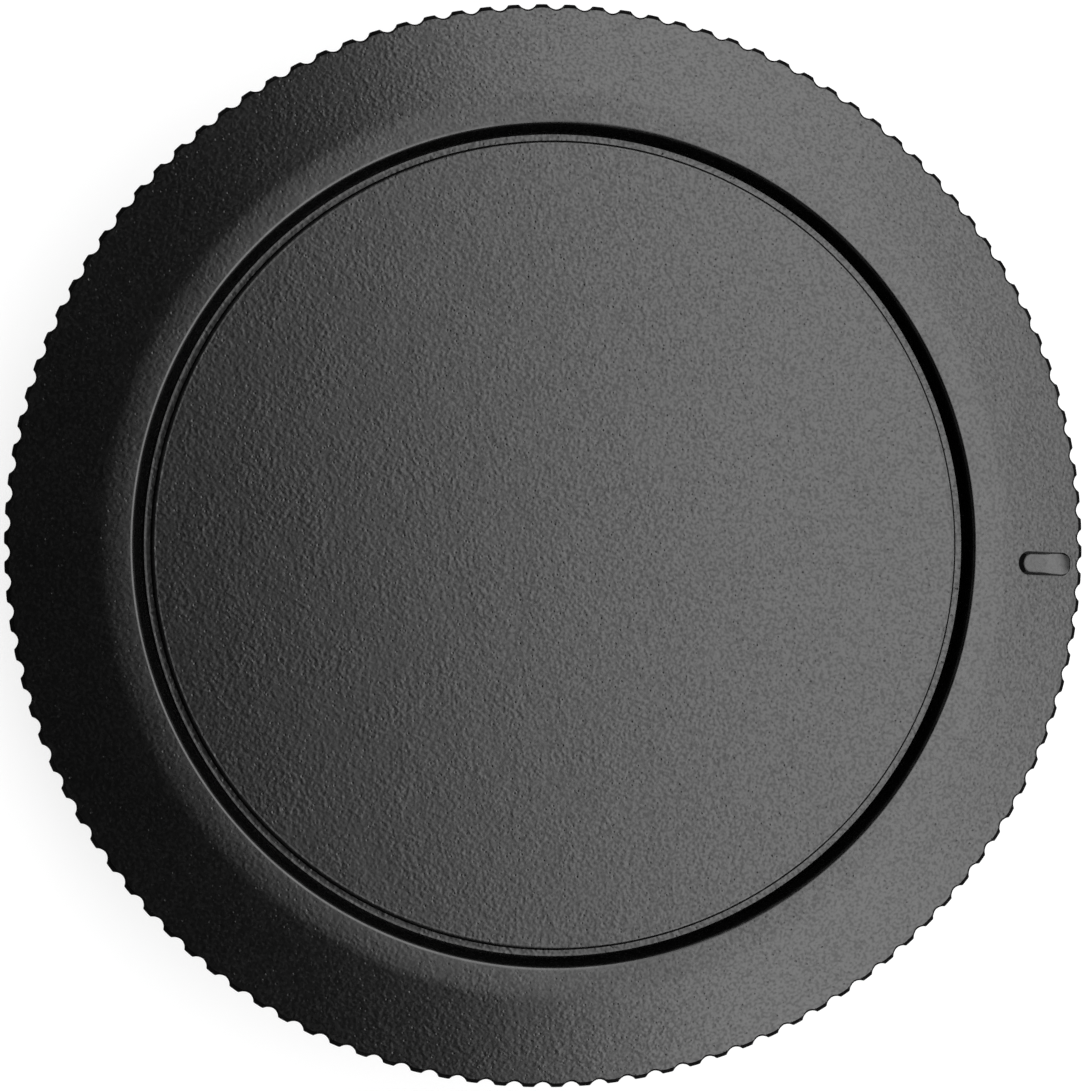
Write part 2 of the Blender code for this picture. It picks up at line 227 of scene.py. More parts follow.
class StageSettings(PropertyGroup):
    """Camera, lamps and floor."""

    floor_colour: grey_prop("Floor colour", "Colour of the floor", 0.55)
    key_power: number_prop(
        "Key power", "Power of the large softbox, per square metre of its layers", 3.3)
    key_tilt: angle_prop("Key tilt", "Tilt of the softbox from straight above", 30.4)
    key_azimuth: angle_prop("Key azimuth", "Turn of the softbox from the mark's side", 11)
    key_distance: length_prop("Key distance", "Distance of the softbox from the cap", 0.4, 2)
    key_length: length_prop("Key length", "Length of the softbox", 2.4, 2)
    key_width: length_prop("Key width", "Width of the softbox's middle layer", 0.45, 2)
    key_edge: length_prop(
        "Key edge", "How much wider and narrower its other two layers are", 0.14, 2)
    horizon_strength: number_prop(
        "Horizon", "Strength of the pale band low over the floor", 0.5)
    wall_strength: number_prop("Wall", "Strength of the pale wall that the camera sees", 0.85)
    floor_glow: number_prop("Floor glow", "Glow of the floor as the camera sees it", 0.74)
    floor_shade: grey_prop(
        "Floor shade", "Colour that takes the cap's shadow on the floor the camera sees", 0.3)
    fill_strength: number_prop("Fill", "Strength of the even light from all round", 0.01)
    focal_length: number_prop(
        "Focal length", "Focal length of the camera in millimetres", 44.05, 1)


def arc(centre, radius, start_deg, end_deg, steps):
    """Points of an arc in the (radius, height) plane, both ends included."""
    points = []
    for step in range(steps + 1):
        angle = math.radians(start_deg + (end_deg - start_deg) * step / steps)
        points.append((centre[0] + radius * math.cos(angle), centre[1] + radius * math.sin(angle)))
    return points


def rounded(points, radii, steps):
    """Round the corners of an open profile, each with its own radius."""
    made = [points[0]]
    for before, corner, after, radius in zip(points, points[1:], points[2:], radii):
        corner = Vector(corner)
        back = (Vector(before) - corner).normalized()
        ahead = (Vector(after) - corner).normalized()
        half = back.angle(ahead) / 2
        if radius <= 0 or half > math.radians(89):
            made.append(tuple(corner))
            continue
        middle = corner + (back + ahead).normalized() * radius / math.sin(half)
        first = corner + back * radius / math.tan(half) - middle
        last = corner + ahead * radius / math.tan(half) - middle
        for step in range(steps + 1):
            spoke = first.lerp(last, step / steps).normalized() * radius
            made.append(tuple(middle + spoke))
    made.append(points[-1])
    return made


class CapShape:
    """The cap's radii and heights, worked out from the three groups of sizes."""

    def __init__(self, scene):
        self.front = front = scene.cap_front
        self.rim = rim = scene.cap_rim
        self.rear = rear = scene.cap_rear
        self.throat = rear.throat_diameter / 2
        self.collar = self.throat - rear.claw_reach - rear.clearance
        self.hollow = self.collar - rear.collar_wall
        self.lug = self.throat - rear.clearance
        self.disc = self.throat - front.groove_width
        self.panel = self.disc - front.band_width
        self.crown = self.throat + front.crown_width
        self.outer = self.crown + front.slope_width
        self.valley = self.outer - rim.flute_depth
        self.channel_inner = self.collar + rear.seat_width
        self.channel_outer = self.valley - rear.skirt_wall
        self.seat_z = rear.collar_height
        self.skirt_z = self.seat_z + rim.skirt_lift
        self.rim_z = self.seat_z + rim.rim_height
        self.crown_z = self.rim_z + front.ring_rise
        self.band_z = self.rim_z + front.band_rise
        self.panel_z = self.band_z + front.panel_rise
        self.underside_z = self.panel_z - rear.panel_wall
        self.groove_z = self.band_z - front.groove_depth
        self.lug_top_z = self.seat_z - rear.claw_thickness - rear.clearance
        self.lug_bottom_z = self.lug_top_z - rear.lug_thickness
        self.slope = math.atan2(front.ring_rise - front.crown_fall, front.slope_width)

    def lean(self, height):
        """Sideways lean of a drafted wall over a height."""
        return abs(height) * math.tan(self.rear.draft)

    def slope_at(self, radius):
        """Height of the ring's slope at a radius."""
        return self.rim_z + (self.outer - radius) * math.tan(self.slope)

    def rim_top(self, radius):
        """Height of the rim's upper side, with its bevelled edge."""
        start = self.outer - self.rim.rim_edge
        if radius <= start:
            return self.slope_at(radius)
        nose = self.rim.rim_round
        turn = max(radius - self.outer + nose, 0)
        drop = (radius - start) * math.tan(self.rim.rim_bevel)
        return self.slope_at(start) - drop - nose + math.sqrt(nose ** 2 - turn ** 2)

    def flute_radius(self, across):
        """Radius of the fluted rim at a distance from the middle of a flute."""
        nose = self.rim.flute_nose
        if abs(across) < nose * 0.999:
            wall = self.valley + nose - math.sqrt(nose ** 2 - across ** 2)
        else:
            wall = self.valley + abs(across)
        soft = self.rim.ridge_softness
        overlap = max(soft - abs(wall - self.outer), 0) / soft
        return min(wall, self.outer) - overlap ** 2 * soft / 4


class RingSkin:
    """A closed skin laid ring by ring round the cap's axis."""

    def __init__(self):
        self.mesh = bmesh.new()
        self.wear = self.mesh.verts.layers.float.new("wear")
        self.first = None
        self.last = None

    def lay(self, stations, wear=0.0, finish=GRAINED):
        """Add a ring of (angle, radius, height) stations and join it to the one before."""
        ring = []
        for angle, radius, height in stations:
            vert = self.mesh.verts.new((radius * math.cos(angle), radius * math.sin(angle), height))
            vert[self.wear] = wear
            ring.append((angle, vert))
        if self.last is not None:
            self.join(self.last, ring, finish)
        self.first = self.first or ring
        self.last = ring

    def face(self, verts, finish):
        """Add one face with its finish."""
        self.mesh.faces.new(verts).material_index = finish

    def join(self, before, after, finish):
        """Skin two rings: quads where they match, else triangles in order of angle."""
        if len(before) == len(after):
            for (_, a), (_, b), (_, c), (_, d) in zip(
                    before, before[1:] + before[:1], after[1:] + after[:1], after):
                self.face((a, b, c, d), finish)
            return
        before = before + [(before[0][0] + math.tau, before[0][1])]
        after = after + [(after[0][0] + math.tau, after[0][1])]
        i = j = 0
        while i < len(before) - 1 or j < len(after) - 1:
            next_i = before[i + 1][0] if i < len(before) - 1 else math.inf
            next_j = after[j + 1][0] if j < len(after) - 1 else math.inf
            if next_i < next_j:
                self.face((before[i][1], before[i + 1][1], after[j][1]), finish)
                i += 1
            else:
                self.face((before[i][1], after[j + 1][1], after[j][1]), finish)
                j += 1

    def close(self):
        """Close both ends with a flat face."""
        for ring in (self.first, self.last):
            self.face([vert for _, vert in ring], GRAINED)

    def build(self, name):
        """The skin as an object."""
        bmesh.ops.remove_doubles(self.mesh, verts=self.mesh.verts, dist=1e-7)
        bmesh.ops.recalc_face_normals(self.mesh, faces=self.mesh.faces)
        return linked(name, self.mesh)


def linked(name, mesh_data):
    """Turn a bmesh into an object of the scene."""
    mesh = bpy.data.meshes.new(name)
    mesh_data.to_mesh(mesh)
    mesh_data.free()
    piece = bpy.data.objects.new(name, mesh)
    bpy.context.scene.collection.objects.link(piece)
    return piece


def even_ring(radius, height, count):
    """A plain ring of evenly spaced stations."""
    return [(math.tau * index / count, radius, height) for index in range(count)]


def lay_profile(skin, profile, count):
    """Lay a turned section of (radius, height, wear, finish) points."""
    for radius, height, wear, finish in profile:
        skin.lay(even_ring(radius, height, count), wear, finish)


def panel_profile(shape):
    """Section from the middle of the panel out over its band and into the groove."""
    front = shape.front
    edge = front.panel_edge
    flat = shape.panel - edge
    points = [(radius, shape.panel_z, 0.0, GRAINED)
              for radius in (*PANEL_RINGS, flat - 0.00012)]
    for inward, share in ((0.0001, 0.06), (0.00001, 0.95)):
        points.append((flat - inward, shape.panel_z + front.panel_lip * share, 0.2, GRAINED))
    top = shape.panel_z + front.panel_lip
    for radius, height in arc((flat, top - edge), edge, 90, 0, 6):
        points.append((radius, height, 0.6, GRAINED))
    for out, down in ((0.0, 0.7), (0.15, 0.95), (0.4, 1.0), (0.7, 0.75), (0.9, 0.2)):
        points.append((shape.panel + front.foot_width * out,
                       shape.band_z - front.foot_depth * down, 0.0, SMOOTH))
    points.append((shape.panel + front.foot_width, shape.band_z, 0.0, GRAINED))
    low = shape.band_z - front.band_fall
    for inward, share, wear in ((0.00015, 0.0, 0.0), (0.00013, 0.08, 0.2), (0.00003, 0.95, 0.5),
                                (0.000015, 1.0, 0.5), (0.000005, 0.8, 0.5), (0.0, -0.3, 0.5)):
        points.append((shape.disc - inward, low + front.band_lip * share, wear, GRAINED))
    return points


def groove_profile(shape):
    """Section of the groove, the ring's lip, its crown and the slope."""
    front = shape.front
    lean = shape.lean(front.groove_depth)
    corner = 0.0001
    wall_top = shape.crown_z - front.groove_lip
    floor = rounded(
        [(shape.disc, shape.band_z - 0.00003), (shape.disc + lean, shape.groove_z),
         (shape.throat - lean, shape.groove_z), (shape.throat, wall_top)],
        (corner, corner), 3)
    points = [(radius, height, 0.0, SMOOTH) for radius, height in floor]
    lip_centre = (shape.throat + front.groove_lip, wall_top)
    for radius, height in arc(lip_centre, front.groove_lip, 180, 90, 7)[1:]:
        points.append((radius, height, 0.9, SMOOTH))
    blend = front.crown_blend
    fall = front.crown_fall / (front.crown_width - front.groove_lip)
    turn = math.tan(shape.slope) - fall
    for step in range(7):
        share = step / 6
        drop = blend * (fall * (2 * share - 1) + turn * share ** 2)
        points.append((shape.crown + blend * (2 * share - 1),
                       shape.crown_z - front.crown_fall - drop, 0.25, GRAINED))
    for radius in (shape.crown + 0.0015, shape.crown + 0.003, shape.valley - 0.0005):
        points.append((radius, shape.slope_at(radius), 0.0, GRAINED))
    return points


def flute_stations(shape):
    """Stations round the rim as (angle, radius of the fluted wall)."""
    pitch = math.tau * shape.outer / shape.rim.flute_count
    side = [step for step in FLUTE_STEPS if step < pitch / 2]
    offsets = [-pitch / 2] + [-step for step in reversed(side[1:])] + side
    stations = []
    for index in range(shape.rim.flute_count):
        for across in offsets:
            angle = math.tau * index / shape.rim.flute_count + across / shape.outer
            stations.append((angle, shape.flute_radius(across)))
    return stations


def lay_rim(skin, shape):
    """Lay the fluted rim from the slope over its edge and down to the foot."""
    stations = flute_stations(shape)
    start = shape.valley - 0.0004
    skin.lay([(angle, start, shape.slope_at(start)) for angle, _ in stations])
    top_edge = shape.rim.flute_top
    depth = shape.rim.flute_depth
    for inward in RIM_RINGS:
        ring = []
        for angle, wall in stations:
            in_flute = (shape.outer - wall) / depth
            drop = max(top_edge - inward, 0) * math.tan(shape.rim.rim_bevel)
            radius = wall - inward
            ring.append((angle, radius, shape.rim_top(radius) - drop * in_flute))
        skin.lay(ring, 0.3)
    foot = shape.rim.foot_edge
    for degrees in (0, 30, 60, 90):
        out = foot * (1 - math.cos(math.radians(degrees)))
        height = shape.skirt_z + foot * (1 - math.sin(math.radians(degrees)))
        skin.lay([(angle, wall - out, height) for angle, wall in stations], 0.8)


def channel_profile(shape):
    """Section of the cored channel, from the skirt's foot in to the seat."""
    rear = shape.rear
    wall = rear.ring_wall / math.cos(shape.slope)
    outer_z = shape.slope_at(shape.channel_outer) - wall
    inner_z = shape.slope_at(shape.channel_inner) - wall
    edge = rear.broken_edge
    corners = [
        (shape.channel_outer + 3 * edge, shape.skirt_z),
        (shape.channel_outer, shape.skirt_z),
        (shape.channel_outer - shape.lean(outer_z - shape.skirt_z), outer_z),
        (shape.channel_inner + shape.lean(inner_z - shape.seat_z), inner_z),
        (shape.channel_inner, shape.seat_z),
        (shape.channel_inner - 3 * edge, shape.seat_z),
    ]
    fillet = rear.core_fillet
    section = rounded(corners, (edge, fillet, fillet, edge), 4)
    return [(radius, height, 0.0, GRAINED) for radius, height in section]


def ramped(value, knots):
    """Height of a broken line through (place, height) knots at a place."""
    if value <= knots[0][0]:
        return knots[0][1]
    for (x0, y0), (x1, y1) in zip(knots, knots[1:]):
        if value <= x1:
            return y0 + (y1 - y0) * (value - x0) / (x1 - x0)
    return knots[-1][1]


def collar_stations(shape, count):
    """Stations round the collar as (angle, lug radius, lug top, stop radius)."""
    rear = shape.rear
    end_gap = math.radians(0.06)
    corner = math.radians(1.5)
    corner_radius = shape.lug - (shape.lug - shape.collar) / 3
    lugs = []
    for index in range(rear.lug_count):
        middle = rear.lug_first + math.tau / rear.lug_count * index
        start, end = middle - rear.lug_arc / 2, middle + rear.lug_arc / 2
        lugs.append((
            [(start - end_gap, shape.collar), (start, corner_radius), (start + corner, shape.lug),
             (end - corner, shape.lug), (end, corner_radius), (end + end_gap, shape.collar)],
            [(start + corner, shape.lug_top_z - rear.lug_ramp_drop),
             (start + rear.lug_ramp, shape.lug_top_z)]))
    stop_end = rear.lug_first + rear.lug_arc / 2 - corner
    stop_start = stop_end - rear.stop_arc
    stop_radius = shape.collar + rear.stop_reach
    stop = [(stop_start - end_gap, shape.collar), (stop_start, stop_radius),
            (stop_end, stop_radius), (stop_end + end_gap, shape.collar)]
    marked = sorted({place % math.tau for outline, _ in lugs for place, _ in outline}
                    | {place % math.tau for place, _ in stop})
    angles = list(marked)
    apart = math.radians(0.2)
    for index in range(count):
        angle = math.tau * index / count
        if all(abs(angle - other) > apart for other in marked):
            angles.append(angle)
    stations = []
    for angle in sorted(angles):
        lug_radius, lug_top = shape.collar, shape.lug_top_z
        for outline, top in lugs:
            for turn in (angle, angle + math.tau):
                if outline[0][0] <= turn <= outline[-1][0]:
                    lug_radius = ramped(turn, outline)
                    lug_top = ramped(turn, top)
        stations.append((angle, lug_radius, lug_top, ramped(angle, stop)))
    return stations


def lay_collar(skin, shape, count):
    """Lay the seat, the collar with its lugs and stop, and the collar's end."""
    stations = collar_stations(shape, count)
    collar, bottom = shape.collar, shape.lug_bottom_z
    reach = shape.rear.stop_reach + 0.0003
    skin.lay([(angle, collar + reach, shape.seat_z) for angle, *_ in stations])
    root = 0.0001
    for out, down in ((root, 0.0), (root * 0.3, root * 0.3), (0.0, root)):
        skin.lay([(angle, stop + out, shape.seat_z - down) for angle, _, _, stop in stations])
    skin.lay([(angle, stop, top) for angle, _, top, stop in stations])
    edge = shape.rear.broken_edge
    for inward, down in ((edge, 0.0), (edge * 0.3, edge * 0.3), (0.0, edge)):
        skin.lay([(angle, max(collar, lug - inward), top - down)
                  for angle, lug, top, _ in stations], 0.5)
    for inward, down in ((0.0, edge), (edge * 0.3, edge * 0.3), (edge, 0.0)):
        skin.lay([(angle, max(collar, lug - inward), bottom + down)
                  for angle, lug, _, _ in stations], 0.5)
    skin.lay([(angle, collar, bottom) for angle, *_ in stations])
    lead = shape.rear.collar_lead
    for degrees in (0, 22.5, 45, 67.5, 90):
        out = lead * (1 - math.cos(math.radians(degrees)))
        height = lead * (1 - math.sin(math.radians(degrees)))
        skin.lay([(angle, collar - out, height) for angle, *_ in stations], 0.4)


def hollow_profile(shape):
    """Section of the collar's hollow and the panel's underside with its gate mark."""
    rear = shape.rear
    edge = rear.broken_edge
    under = shape.underside_z
    corners = [(shape.hollow + 3 * edge, 0.0), (shape.hollow, 0.0),
               (shape.hollow - shape.lean(under), under), (0.017, under)]
    section = rounded(corners, (edge, rear.hollow_fillet), 5)
    gate = rear.gate_radius
    section += [(0.006, under), (gate * 2.6, under), (gate * 2.3, under + 0.00004),
                (gate * 2.0, under + 0.00014), (gate * 1.1, under + 0.00016),
                (gate, under + 0.00012), (gate * 0.98, under - 0.00002),
                (gate * 0.8, under - 0.00006), (gate * 0.3, under - 0.00005)]
    return [(radius, height, 0.0, GRAINED) for radius, height in section]


def mark_outline(shape, inner, side, outer, above):
    """Outline of the index mark at one level: round inner end, squarer outer end."""
    front = shape.front
    outer_end = shape.outer - front.mark_rim_gap
    middle = outer_end - front.mark_length + front.mark_width / 2
    half = front.mark_width / 2 - side
    corner = min(0.0005, half * 0.9)
    points = arc((middle + inner - side, 0.0), half, 90, 270, 3 * MARK_STEPS)
    corner_x = outer_end - outer - corner
    points += arc((corner_x, corner - half), corner, -90, 0, MARK_STEPS)
    points += arc((corner_x, half - corner), corner, 0, 90, MARK_STEPS)
    return [Vector((x, y, shape.slope_at(math.hypot(x, y)) + above)) for x, y in points]


def loft(mesh_data, levels):
    """Skin a closed solid through outlines with the same number of points."""
    rings = [[mesh_data.verts.new(point) for point in level] for level in levels]
    for lower, upper in zip(rings, rings[1:]):
        for index in range(len(lower)):
            after = (index + 1) % len(lower)
            mesh_data.faces.new((lower[index], lower[after], upper[after], upper[index]))
    mesh_data.faces.new(rings[0])
    mesh_data.faces.new(rings[-1])


def mark_cutter(mesh_data, shape):
    """The index mark's pocket: filleted floor, curved outer end, rounded mouth."""
    front = shape.front
    mouth = 0.00004
    rise = front.mark_depth - mouth
    climb = front.mark_climb
    run = math.sqrt(2 * climb * rise - rise ** 2)
    levels = [mark_outline(shape, rise / math.tan(front.mark_bevel) + inset,
                           front.mark_side_fillet + inset, run + inset, -front.mark_depth)
              for inset in (0.0004, 0.00025, 0.0001)]
    for degrees in (0, 15, 30, 45, 60, 75, 90):
        up = rise * (1 - math.cos(math.radians(degrees)))
        share = 1 - math.sin(math.radians(degrees))
        levels.append(mark_outline(
            shape, (rise - up) / math.tan(front.mark_bevel), front.mark_side_fillet * share,
            run - math.sqrt(2 * climb * up - up ** 2), up - front.mark_depth))
    for degrees in (30, 60, 82):
        out = mouth * (1 - math.cos(math.radians(degrees)))
        up = mouth * (math.sin(math.radians(degrees)) - 1)
        levels.append(mark_outline(shape, -out, -out, -out, up))
    over = -mouth * 2.5
    levels.append(mark_outline(shape, over, over, over, 0.0001))
    loft(mesh_data, levels)


def ejector_cutters(mesh_data, shape):
    """Shallow round marks that the ejector pins leave on the panel's underside."""
    rear = shape.rear
    for index in range(4):
        angle = math.radians(45 + 90 * index)
        centre = Vector((math.cos(angle), math.sin(angle), 0)) * rear.ejector_circle
        levels = []
        for radius, height in ((0.0, -0.0002), (0.0, 0.00003), (-0.00004, 0.00006)):
            size = rear.ejector_radius + radius
            levels.append([
                centre + Vector((math.cos(turn) * size, math.sin(turn) * size,
                                 shape.underside_z + height))
                for turn in (math.tau * step / 64 for step in range(64))])
        loft(mesh_data, levels)


def cut_away(piece, cutter_data):
    """Cut closed solids out of a piece, with the smooth finish on the cut faces."""
    for cut_face in cutter_data.faces:
        cut_face.material_index = SMOOTH
    bmesh.ops.recalc_face_normals(cutter_data, faces=cutter_data.faces)
    cutter = linked("cutter", cutter_data)
    for material in piece.data.materials:
        cutter.data.materials.append(material)
    modifier = piece.modifiers.new("cuts", "BOOLEAN")
    modifier.operation = "DIFFERENCE"
    modifier.solver = "EXACT"
    modifier.object = cutter
    bpy.context.view_layer.update()
    graph = bpy.context.evaluated_depsgraph_get()
    made = bpy.data.meshes.new_from_object(piece.evaluated_get(graph))
    piece.modifiers.clear()
    piece.data = made
    made.name = piece.name
    bpy.data.objects.remove(cutter)


def finish_rim(piece, shape):
    """Give the flutes the grip's finish, and the rim's edge and the mark's wall a dull one."""
    inner, bevel_zone = shape.valley - 0.0005, 0.0004
    mark_wall = math.sin(math.radians(MARK_WALL_LEAN))
    rim_wall = math.sin(math.radians(RIM_WALL_LEAN))
    for face in piece.data.polygons:
        radius = face.center.xy.length
        outward = face.normal.xy.dot(face.center.xy) / radius
        if face.material_index == SMOOTH:
            if radius > shape.crown and outward > mark_wall:
                face.material_index = EDGE
        elif radius > inner and outward > rim_wall:
            upper = face.center.z > shape.rim_z - bevel_zone
            face.material_index = EDGE if upper else GRIP


def smooth_round(piece, sharp_deg):
    """Shade the round faces smooth and let large faces hold their direction."""
    piece.data.shade_smooth()
    piece.data.set_sharp_from_angle(angle=math.radians(sharp_deg))
    weighted = piece.modifiers.new("weighted_normals", "WEIGHTED_NORMAL")
    weighted.keep_sharp = True


def new_group(name, inputs, outputs):
    """A shader node group with named sockets, and its input and output nodes."""
    group = bpy.data.node_groups.new(name, "ShaderNodeTree")
    for side, socket_names in (("INPUT", inputs), ("OUTPUT", outputs)):
        for socket_name in socket_names:
            # A socket's kind follows from the last word of its name.
            word = socket_name.split()[-1]
            kind = "NodeSocket" + (word if word in ("Vector", "Color") else "Float")
            group.interface.new_socket(socket_name, in_out=side, socket_type=kind)
    return group, group.nodes.new("NodeGroupInput"), group.nodes.new("NodeGroupOutput")


def place(tree, kind, x, y, **settings):
    """Add a node at a place, with its settings."""
    node = tree.nodes.new(kind)
    node.location = (x, y)
    for name, value in settings.items():
        setattr(node, name, value)
    return node


def math_node(tree, operation, x, y, *values):
    """Add a Math node; a value is a number or a socket to link."""
    node = place(tree, "ShaderNodeMath", x, y, operation=operation)
    for socket, value in zip(node.inputs, values):
        if isinstance(value, bpy.types.NodeSocket):
            tree.links.new(value, socket)
        else:
            socket.default_value = value
    return node.outputs[0]


def ramp_node(tree, x, y, value, start, end, low=0.0, high=1.0, kind="LINEAR"):
    """Add a Map Range node that takes a value from start and end to low and high."""
    node = place(tree, "ShaderNodeMapRange", x, y, interpolation_type=kind)
    tree.links.new(value, node.inputs["Value"])
    for name, number in (("From Min", start), ("From Max", end), ("To Min", low), ("To Max", high)):
        node.inputs[name].default_value = number
    return node.outputs["Result"]


def noise(tree, vector, scale, detail, x, y, roughness=0.5, lacunarity=2.0):
    """Add a Noise Texture on a vector; the scale is a number or a socket."""
    node = place(tree, "ShaderNodeTexNoise", x, y)
    tree.links.new(vector, node.inputs["Vector"])
    if isinstance(scale, bpy.types.NodeSocket):
        tree.links.new(scale, node.inputs["Scale"])
    else:
        node.inputs["Scale"].default_value = scale
    node.inputs["Detail"].default_value = detail
    node.inputs["Roughness"].default_value = roughness
    node.inputs["Lacunarity"].default_value = lacunarity
    return node.outputs[0]


def grain_group():
    """Spark-eroded grain: a fine relief with deeper round pits, and painted shade in the hollows.
    """
    group, ins, outs = new_group(
        "moulded_grain", ("Vector", "Size", "Wear", "Pit Depth", "Pit Shade"),
        ("Height", "Cavity", "Shade"))
    ins.location, outs.location = (-1100, 0), (800, 0)
    turned = place(group, "ShaderNodeMapping", -900, 200)
    turned.inputs["Rotation"].default_value = (0.5, 0.6, 0.3)
    group.links.new(ins.outputs["Vector"], turned.inputs["Vector"])
    vector = turned.outputs["Vector"]
    scale = math_node(group, "DIVIDE", -900, -150, 1.0, ins.outputs["Size"])
    fine = noise(group, vector, scale, 1.0, -500, 300, 0.62, 1.6)
    broad_scale = math_node(group, "MULTIPLY", -700, -350, scale, 0.13)
    broad = noise(group, vector, broad_scale, 1.0, -500, -250)
    strength = math_node(group, "MULTIPLY_ADD", -250, -250, broad, 1.2, 0.4)
    dimple_scale = math_node(group, "MULTIPLY", -700, 550, scale, 1.55)
    dimples = noise(group, vector, dimple_scale, 0.0, -500, 600)
    raised = math_node(group, "MULTIPLY", -350, 300, dimples, 0.3)
    relief = math_node(group, "MULTIPLY_ADD", -250, 200, fine, 0.98, raised)
    shaped = math_node(group, "MULTIPLY", 0, 100, relief, strength)
    pits = place(group, "ShaderNodeTexVoronoi", -500, -500)
    group.links.new(vector, pits.inputs["Vector"])
    group.links.new(math_node(group, "MULTIPLY", -700, -500, scale, 0.75), pits.inputs["Scale"])
    bowl = ramp_node(group, -250, -450, pits.outputs["Distance"], 0.02, 0.25, -1.0, 0.0,
                     "SMOOTHSTEP")
    varied = math_node(group, "MULTIPLY", 0, -350, bowl, pits.outputs["Color"])
    pitted = math_node(group, "MULTIPLY_ADD", 200, -100, varied, ins.outputs["Pit Depth"], shaped)
    kept = math_node(group, "MULTIPLY_ADD", 0, -550, ins.outputs["Wear"], -0.5, 1.0)
    height = math_node(group, "MULTIPLY", 400, 0, pitted, kept)
    # Painted shade: a mask of the relief's hollows and pits, whose shine is dimmed.
    hollow = ramp_node(group, -250, 450, dimples, 0.6, 0.3)
    cavity = math_node(group, "SUBTRACT", 200, 350, hollow, varied)
    shade = math_node(group, "MULTIPLY", 500, 350, cavity, ins.outputs["Pit Shade"])
    for name, value in (("Height", height), ("Cavity", cavity), ("Shade", shade)):
        group.links.new(value, outs.inputs[name])
    return group


def handling_group():
    """Traces of use: faint smudges and rubbed edges, as colour and roughness."""
    group, ins, outs = new_group(
        "handling_wear", ("Vector", "Wear", "Color", "Worn Color", "Roughness", "Cavity"),
        ("Color", "Roughness"))
    ins.location, outs.location = (-900, 0), (600, 0)
    smudge = noise(group, ins.outputs["Vector"], 120.0, 3.0, -650, 200)
    scuff = noise(group, ins.outputs["Vector"], 900.0, 3.0, -650, -50)
    patchy = ramp_node(group, -400, -50, scuff, 0.45, 0.7)
    rubbed = math_node(group, "MULTIPLY", -150, -50, patchy, ins.outputs["Wear"])
    mix = place(group, "ShaderNodeMix", 100, 150, data_type="RGBA")
    group.links.new(rubbed, mix.inputs["Factor"])
    group.links.new(ins.outputs["Color"], mix.inputs[6])
    group.links.new(ins.outputs["Worn Color"], mix.inputs[7])
    spread = math_node(group, "MULTIPLY_ADD", -150, 300, smudge, 0.06, -0.03)
    base = math_node(group, "ADD", 100, 350, ins.outputs["Roughness"], spread)
    polished = math_node(group, "MULTIPLY_ADD", 300, 300, rubbed, -0.06, base)
    rough = math_node(group, "MULTIPLY_ADD", 450, 300, ins.outputs["Cavity"], 0.1, polished)
    group.links.new(mix.outputs[2], outs.inputs["Color"])
    group.links.new(rough, outs.inputs["Roughness"])
    return group


def plastic_material(name, finish, grain, handling, roughness, grain_share, index):
    """Black moulded plastic with a share of the grain's depth, and traces of use."""
    material = bpy.data.materials.new(name)
    material.use_nodes = True
    tree = material.node_tree
    shader = tree.nodes["Principled BSDF"]
    shader.inputs["IOR"].default_value = index
    place_node = place(tree, "ShaderNodeTexCoord", -1100, 0)
    wear = place(tree, "ShaderNodeAttribute", -1100, -300, attribute_name="wear")
    grain_node = place(tree, "ShaderNodeGroup", -750, -250, node_tree=grain)
    grain_node.inputs["Size"].default_value = finish.grain_size
    grain_node.inputs["Pit Depth"].default_value = finish.pit_depth
    grain_node.inputs["Pit Shade"].default_value = finish.pit_shade * grain_share
    handling_node = place(tree, "ShaderNodeGroup", -400, 150, node_tree=handling)
    handling_node.inputs["Color"].default_value = finish.plastic_colour
    handling_node.inputs["Worn Color"].default_value = finish.worn_colour
    handling_node.inputs["Roughness"].default_value = roughness
    for node in (grain_node, handling_node):
        tree.links.new(place_node.outputs["Object"], node.inputs["Vector"])
        tree.links.new(wear.outputs["Fac"], node.inputs["Wear"])
    tree.links.new(grain_node.outputs["Cavity"], handling_node.inputs["Cavity"])
    bump = place(tree, "ShaderNodeBump", -350, -250)
    bump.inputs["Strength"].default_value = 1.0
    bump.inputs["Distance"].default_value = finish.grain_depth * grain_share
    tree.links.new(grain_node.outputs["Height"], bump.inputs["Height"])
    tree.links.new(bump.outputs["Normal"], shader.inputs["Normal"])
    # Painted shade in the pits and hollows: Metallic takes the shine off a black plastic there.
    tree.links.new(grain_node.outputs["Shade"], shader.inputs["Metallic"])
    tree.links.new(handling_node.outputs["Color"], shader.inputs["Base Color"])
    tree.links.new(handling_node.outputs["Roughness"], shader.inputs["Roughness"])
    return material


